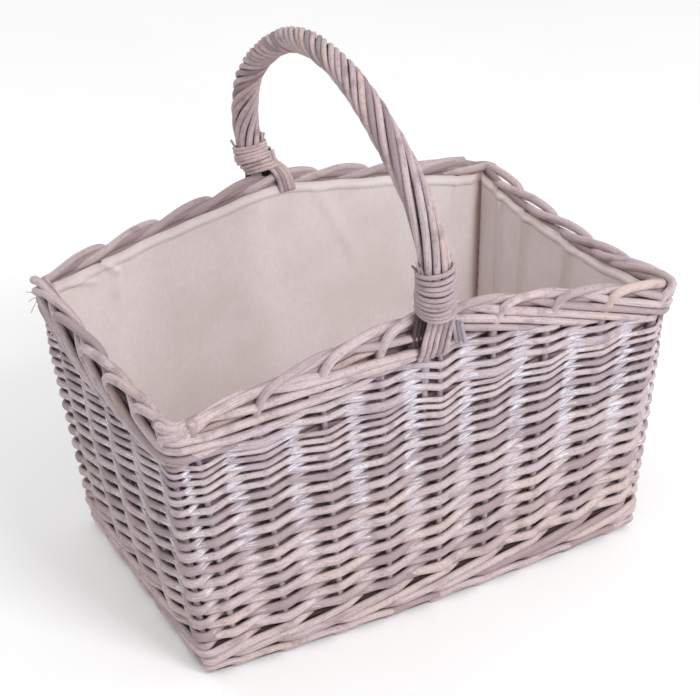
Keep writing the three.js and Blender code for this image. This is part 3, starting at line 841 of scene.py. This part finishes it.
def rope():
    """Rods twisted round the bow, nearly straight at the feet and steep at the top."""
    above = np.where(BOW[:, 2] > np.where(BOW[:, 1] < 0, *ROPE_ENDS))[0]
    index = np.arange(above[0], above[-1] + 1).astype(float)
    share = np.linspace(0, 1, len(index))
    lay = np.radians(np.interp(share, [0, 0.12, 0.3, 0.5, 0.75, 0.92, 1], [0, 8, 20, 31, 29, 20, 8]))
    pitch = np.interp(share, [0, 0.15, 0.5, 0.85, 1], [9.2, 8.8, 7.4, 8.4, 8.8])
    twist = np.concatenate([[0], np.cumsum(BOW_STEP * np.tan(lay[:-1]) / pitch[:-1])])
    groove = mix(0.55, 0.95, (np.abs(share - 0.5) * 2) ** 2)
    thick = math.pi * np.minimum(pitch, 8.5) * np.cos(lay) / ROPE_RODS
    rods = Bundle(12)
    for rod in range(ROPE_RODS):
        sway = 0.05 * np.sin(share * 17 + phase())
        angle = (rod + vary(0, 0.1)) * 2 * math.pi / ROPE_RODS + twist + sway
        places, out = round_bow(index, angle, pitch + 0.35 * np.sin(share * 23 + phase()))
        radius = thick * vary(0.9, 0.12)
        rods.rod(places, out, radius, radius, wear=0.15, groove=groove)
    return rods


def binding(name, side):
    """One strand from its cut end, down across the front, and then upwards in close turns."""
    turns, pitch, fall, start, aside = BINDINGS[side]
    strand = Bundle()
    turn = np.linspace(-0.04, turns, turns * 44)
    near = np.where(BOW[:, 2] > BINDING_START)[0]
    base = near[0] if side < 0 else near[-1]
    travel = np.where(turn < 0.5, -fall * (1 - turn / 0.5) ** 1.3, pitch * (turn - 0.5)) + start
    travel = travel + 0.35 * np.sin(turn * 2.1) * np.minimum(turn, 1)
    angle = -side * turn * 2 * math.pi
    loose = np.interp(turn, [0, 0.5, 2, turns], [2.6, 1.2, 0.4, 0.0])
    radius = BINDING_RADIUS + loose + 0.3 * np.sin(turn * 5.7)
    places, out = round_bow(base - side * travel / BOW_STEP, angle, radius)
    places[:, 0] += aside * np.clip(1 - turn / 4, 0, 1)
    strand.rod(places, out, 1.6, mix(1.95, 1.75, side > 0), wear=0.15, groove=0.6)
    strand.make(f"binding_{name}", HANDLE, "willow_handle", [f"handle_binding_{name}"])


def through(points):
    """A smooth path near the points, with the first and last kept."""
    return bspline(points, 24)[0]


def handle_feet(rods):
    """The rods' lower ends, spread over the border: outside on both sides, and inside."""
    for k in range(5):
        u = k / 4
        x, end = mix(-13, 6, u), mix(-17, 3.5, u)
        for side in (-1, 1):
            path = [(x, side * 153.5, 292), (x, side * 157.0, 277),
                    (mix(x, end, 0.3), side * 155.0, 266), (mix(x, end, 0.7), side * 150.8, 254),
                    (end, side * 149.8, 243 + 1.5 * (k % 2)), (end, side * 145.0, 236)]
            rods.rod(through(path), [0, side, 0], 2.2, 2.3, wear=0.1, groove=0.9)
    for k in range(4):
        u = k / 3
        x = mix(-5, 6, u)
        for side in (-1, 1):
            end = x + (9 if side > 0 else -3)
            path = [(x, side * 146.0, 292), (x, side * 145.0, 284),
                    (mix(x, end, 0.4), side * 141.0, 281), (mix(x, end, 0.7), side * 135.0, 279),
                    (end, side * 130.0, 272), (end + 1, side * 128.5, 261)]
            rods.rod(through(path), [0, -side, 0.6], 1.9, 2.0, wear=0.1, groove=0.9)


# Cut ends that splay out above each binding: side, height over its start, and angles round the bow.
SPLAYED = ((-1, 41, (2.75, 3.1, 3.5, 3.9, 0.3, -0.2)), (1, 24, (0.0, 0.35, 0.7, 3.3)))


def tips(rods):
    """Cut ends above the bindings, and ones dark with painted shade beside the outer foot rods."""
    for k in range(3):  # the ones with painted shade
        x = -22.0 + 3.6 * k
        path = [(x + 3, -150.0, 284), (x + 1, -149.0, 272), (x, -147.0, 262), (x, -144.0, 248)]
        rods.rod(through(path), [0, -1, 0], 1.8, 1.8, wear=-0.8)
    base = np.where(BOW[:, 2] > BINDING_START)[0]
    for side, height, angles in SPLAYED:
        foot_index = base[0] if side < 0 else base[-1]
        for angle in angles:
            travel = np.linspace(height - 12, height + vary(3, 6), 10)
            spread = 11.0 + vary(1.5, 4.5) * np.linspace(0, 1, 10) ** 2
            places, out = round_bow(foot_index - side * travel / BOW_STEP, np.full(10, angle), spread)
            rods.rod(places, out, 1.0, 1.2, wear=0.1, groove=0.6)


def handle():
    bow_stick()
    rods = rope()
    handle_feet(rods)
    tips(rods)
    rods.make("handle_rods", HANDLE, "willow_handle", [f"handle_rod_{k}" for k in range(1, 8)])
    for name, side in (("front", -1), ("back", 1)):
        binding(name, side)
    ends = Bundle(8)
    for k in range(3):  # cut tails under the front binding
        x, z = 7.0 + 3.8 * k, 266 - 2.5 * k
        path = [(x, -152.0, z), (x + 1, -152.0, z - 6), (x + 3, -150.8, z - 12),
                (x + 5, -148.0, z - 19)]
        ends.rod(through(path), [0, -1, 0], 1.7, 1.7, wear=0.2, groove=0.4)
    for lean in (-1.0, 0.2, 1.3):  # fibres left loose at a corner
        s = np.linspace(0, 1, 9)
        x, y, z = -213 - 10 * s, 139 + 3 * lean * s, 216 + 7 * lean * s - 4 * s * s
        ends.rod(np.stack([x, y, z], -1), [0, 0, 1], 0.25, 0.25, wear=-0.4)
    ends.make("handle_tips", STAKE, "willow_stakes")


BASE_PITCH = 6.2


def base():
    """Sticks along the base, and rows woven across them."""
    group, sticks = Bundle(8), Bundle(8)
    half_x, half_y = FOOT_LENGTH / 2 - WALL - 3, FOOT_WIDTH / 2 - WALL - 3
    spacing = 2 * ((FOOT_WIDTH / 2 - FOOT_CORNER) * SHORT_SPREAD[0]) / (SHORT_STAKES - 1)
    level = (BASE_BOTTOM + BASE_TOP) / 2
    places = np.array(BASE_STICKS) * spacing
    for y in places:
        x = np.linspace(-half_x, half_x, 60)
        sticks.rod(np.stack([x, y + 0 * x, level + 0 * x], -1), (0, 0, 1), 3.6, 3.6)
    sticks.make("base_sticks", STAKE, "willow_stakes", node_names("base_stick_"))
    outer = np.concatenate([[2 * places[0] - places[1]], places, [2 * places[-1] - places[-2]]])
    for k in range(int(2 * half_x / BASE_PITCH)):
        x = -half_x + BASE_PITCH / 2 + BASE_PITCH * k
        edge = half_y + FOOT_BOW * (1 - (x / half_x) ** 2) - 1
        y = np.linspace(-edge, edge, 80)
        turn = np.interp(y, outer, np.arange(len(outer)))
        z = level + 4.0 * in_front(turn + k)
        group.rod(np.stack([x + 0 * y, y, z], -1), (0, 0, 1), 2.0, 3.0, wear=0.3 * rub_and_painted_highlight(turn))
    group.make("base_rows", WEAVER, "willow_weave", ["base_weave"])


# Creases in the lining: side, then the two ends as shares of the side and heights, depth and width.
CREASES = (
    (2, 0.93, 236, 0.80, 238, 2.4, 3.2), (2, 0.80, 238, 0.74, 226, 2.4, 3.2),
    (2, 0.74, 226, 0.76, 208, 2.0, 4.0), (2, 0.96, 226, 0.84, 222, 1.8, 3.0),
    (1, 0.80, 225, 0.78, 90, 4.5, 5.5), (1, 0.45, 222, 0.50, 110, 4.0, 7.0),
    (1, -0.1, 222, 0.0, 120, 3.2, 8.0), (2, -0.88, 240, -0.86, 80, 2.2, 4.0),
    (2, -0.2, 250, -0.35, 190, 1.6, 7.0),
)
SEAM_SIDE, SEAM_SHARE = 2, -0.985  # the seam by the back right corner, a crease dark with painted shade
HEM_WIDTH = 8.0
CLOTH_EDGE = 21.5  # how high the cloth's edge is over the border's lower edge
WALL_INSET, FLOOR_INSET = 15.8, 19.0  # the cloth's, from the outer face of the wall
FLOOR_LIFT = 0.8  # the cloth's, over the base
CLOTH_THICKNESS = 0.9
FOLD_SHADE = 0.2  # painted shade along the right side's folds


def lining():
    """A sewn bag: four walls that billow a little, a floor, a hem, and a seam beside a corner."""
    arcs = all_round(960)
    sx, sy, angle = station(arcs)
    edge = BORDER_BOTTOM + arch(arcs) + CLOTH_EDGE
    edge = edge + 0.6 * np.sin(arcs / 7.0) + 0.5 * np.sin(arcs / 17.0 + 1)
    edge = np.convolve(np.concatenate([edge[-8:], edge, edge[:8]]), np.full(17, 1 / 17), "valid")
    floor_z = BASE_TOP + FLOOR_LIFT
    wave = np.sin(arcs / 23) * 0.6 + np.sin(arcs / 9.5 + 2) * 0.35 + np.sin(arcs / 41 + 1) * 0.9
    seam = bell(arcs - arc_of(SEAM_SIDE, SEAM_SHARE) + 1.2, 4.0)
    # Painted shade under the border and hem, browner on the short sides.
    brown_shade = np.where(np.abs(sx) > 0.999, 0.7, 0.28)
    brown_shade = brown_shade * (0.7 + 0.3 * np.sin(arcs / 13.0) * np.sin(arcs / 5.1))
    rings, painted_shades = [], []
    for v in np.append(np.linspace(0, 0.94, 64), np.linspace(0.947, 1, 12)):
        z = mix(floor_z + 4, edge, v)
        billow = math.sin(math.pi * v) ** 0.7
        inset = WALL_INSET + 1.2 * wave * billow * (0.4 + 0.6 * v) + 2.5 * (1 - v) ** 6
        fold_shade = 0 * arcs
        for side, share_a, z_a, share_b, z_b, deep, wide in CREASES:
            start, way = arc_of(side, share_a), arc_of(side, share_b) - arc_of(side, share_a)
            drop = z_b - z_a
            t = np.clip(((arcs - start) * way + (z - z_a) * drop) / (way * way + drop * drop), 0, 1)
            away = np.hypot(arcs - start - t * way, z - z_a - t * drop)
            near = bell(away, wide)
            inset = inset + deep * (near - 0.5 * bell(away, 2.2 * wide))
            if side == 1:
                fold_shade = np.maximum(fold_shade, FOLD_SHADE * near)
        down = edge - z
        hem = grow(down, HEM_WIDTH, -1.2)
        inset = inset - 3.4 * seam + 0.9 * hem - 3.6 * np.clip(1 - down / 4.0, 0, 1)
        rings.append(wall((sx, sy, angle), z, inset))
        # Painted shade in the seam, along the top edge and hem, and in the right side's folds.
        strip = 0.8 * bell(down - HEM_WIDTH, 0.9) + np.clip(1 - down / 3.5, 0, 1) + 0.15 * hem
        painted_shades.append(np.maximum(np.maximum(0.8 * seam, brown_shade * strip), fold_shade))
    lower = wall((sx, sy, angle), np.full(len(arcs), floor_z), np.full(len(arcs), FLOOR_INSET))
    floor_rings = [lower * (v, v, 1) for v in np.linspace(0.02, 1, 26)]
    painted_shades = [0 * seam] * len(floor_rings) + painted_shades
    rings = floor_rings + rings
    n = len(arcs)
    k = np.arange(n)
    k2 = (k + 1) % n
    faces = [tuple(range(n))[::-1]]
    for r in range(len(rings) - 1):
        faces += np.stack([r * n + k, r * n + k2, (r + 1) * n + k2, (r + 1) * n + k], -1).tolist()
    mesh = bpy.data.meshes.new("lining_cloth")
    mesh.from_pydata((np.concatenate(rings) * MM).tolist(), [], faces)
    mesh.update()
    mesh.polygons.foreach_set("use_smooth", np.ones(len(faces), bool))
    give(mesh, "painted_shade", "FLOAT", np.concatenate(painted_shades))
    cloth = bpy.data.objects.new("lining_cloth", mesh)
    settle(cloth, LINEN_OUTSIDE_SHADED, ["lining"])
    cloth.data.materials.append(LINEN)
    solidify = cloth.modifiers.new("thickness", "SOLIDIFY")
    solidify.thickness = CLOTH_THICKNESS * MM
    solidify.offset = 1
    solidify.material_offset = solidify.material_offset_rim = 1  # the inner shell and the edge


FLOOR_GLOW = 0.17  # only what the camera sees of the floor, which is white in the photo
SKY_STRENGTH = 0.64
LIGHTS_AIM = (0, 0, 0.15)
# Name, place in metres, size and power.
LIGHTS = (
    ("key", (0.45, -1.95, 1.85), 0.8, 33),
    ("fill", (1.9, -0.6, 1.3), 1.6, 4.5),
    ("back", (-0.6, 1.5, 2.2), 1.6, 11),
)


def stage():
    scene = bpy.context.scene
    n = Nodes("floor")
    speck = n.noise(n.place(), (3, 3, 3), 2)
    colour = n.colour(n.ramp(speck, 0.3, 0.7), (0.86, 0.86, 0.86), (0.88, 0.88, 0.88))
    n.link(colour, n.shader.inputs["Base Color"])
    n.shader.inputs["Roughness"].default_value = 0.9
    seen = n.node("ShaderNodeLightPath").outputs["Is Camera Ray"]
    n.shader.inputs["Emission Color"].default_value = (1, 1, 1, 1)
    n.link(n.math("MULTIPLY", seen, FLOOR_GLOW), n.shader.inputs["Emission Strength"])
    bpy.ops.mesh.primitive_plane_add(size=30, location=(0, 0, 0))
    floor = bpy.context.object
    floor.name = "floor"
    floor.data.materials.append(n.material)
    world = bpy.data.worlds.new("studio")
    scene.world = world
    world.use_nodes = True
    background = world.node_tree.nodes["Background"]
    background.inputs["Color"].default_value = (1, 1, 1, 1)
    background.inputs["Strength"].default_value = SKY_STRENGTH
    for name, place, size, power in LIGHTS:
        lamp = bpy.data.lights.new(name, "AREA")
        lamp.energy = power
        lamp.size = size
        obj = bpy.data.objects.new(name, lamp)
        obj.location = place
        obj.rotation_euler = (Vector(LIGHTS_AIM) - Vector(place)).to_track_quat("-Z", "Y").to_euler()
        scene.collection.objects.link(obj)


# The camera as fitted to the photo: its angles in degrees, its place, and its focal length in pixels.
AZIMUTH, ELEVATION, ROLL = -26.569, 29.227, -2.413
CAMERA_PLACE = (-584.7, -1167.0, 902.0)
FOCAL_PIXELS, PHOTO_WIDTH, SENSOR_WIDTH = 1832.249, 700, 36


def camera():
    scene = bpy.context.scene
    data = bpy.data.cameras.new("photo_camera")
    data.sensor_fit = "HORIZONTAL"
    data.sensor_width = SENSOR_WIDTH
    data.lens = FOCAL_PIXELS / PHOTO_WIDTH * SENSOR_WIDTH
    data.clip_start, data.clip_end = 0.05, 60
    a, e, roll = (math.radians(degrees) for degrees in (AZIMUTH, ELEVATION, ROLL))
    back = Vector((math.sin(a) * math.cos(e), -math.cos(a) * math.cos(e), math.sin(e)))
    right = Vector((math.cos(a), math.sin(a), 0))
    up = back.cross(right)
    right, up = (right * math.cos(roll) + up * math.sin(roll),
                 up * math.cos(roll) - right * math.sin(roll))
    turned = Matrix((right, up, back)).transposed().to_4x4()
    obj = bpy.data.objects.new("photo_camera", data)
    obj.matrix_world = Matrix.Translation(Vector(CAMERA_PLACE) * MM) @ turned
    scene.collection.objects.link(obj)
    scene.camera = obj
    scene.view_settings.view_transform = "Standard"


camera()
woven_side()
uprights()
foot()
top_border()
packing()
handle()
base()
lining()
stage()
